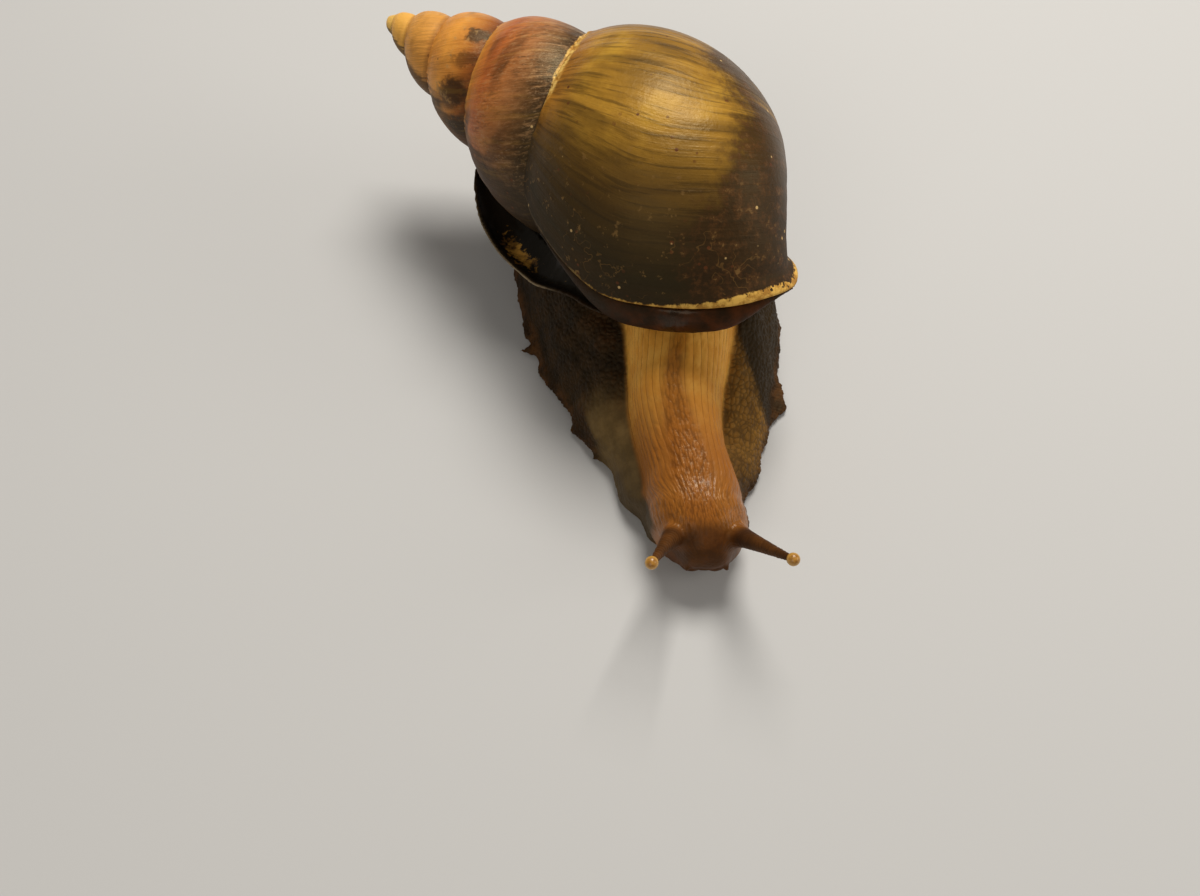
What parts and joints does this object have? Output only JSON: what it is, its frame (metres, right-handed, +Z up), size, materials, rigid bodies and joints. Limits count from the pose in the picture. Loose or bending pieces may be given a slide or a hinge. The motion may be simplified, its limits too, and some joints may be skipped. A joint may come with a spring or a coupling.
{
  "type": "giant african land snail",
  "caption": "Life-size model of a giant African land snail crawling with its neck stretched out, eye stalks raised and its tall spiral shell carried over its back.",
  "frame": {"origin": "middle of the bounding box, on the flat sole that the snail rests on", "axes": "+Z up, -Y forwards to the head, +X to the snail's left; the apex of the shell points to the snail's right and back"},
  "size_m": [0.0956, 0.1788, 0.0669],
  "materials": {
    "shell_horn": "satin horn with fine growth lines",
    "mantle_skin": "wet, smooth",
    "neck_skin": "wet, grooved",
    "foot_skin": "damp, granular",
    "head_skin": "damp, granular",
    "tentacle_skin": "damp, smooth",
    "eye_bulb": "glossy"
  },
  "bodies": {
    "root": {"shell": "shell_horn", "mantle_collar": "mantle_skin", "neck": "neck_skin", "head": "head_skin", "lips": "head_skin", "foot_front": "foot_skin", "foot_middle": "foot_skin", "tail": "foot_skin", "upper_tentacle_right": "tentacle_skin", "lower_tentacle_right": "tentacle_skin", "eye_right": "eye_bulb", "upper_tentacle_left": "tentacle_skin", "lower_tentacle_left": "tentacle_skin", "eye_left": "eye_bulb"}
  },
  "joints": []
}
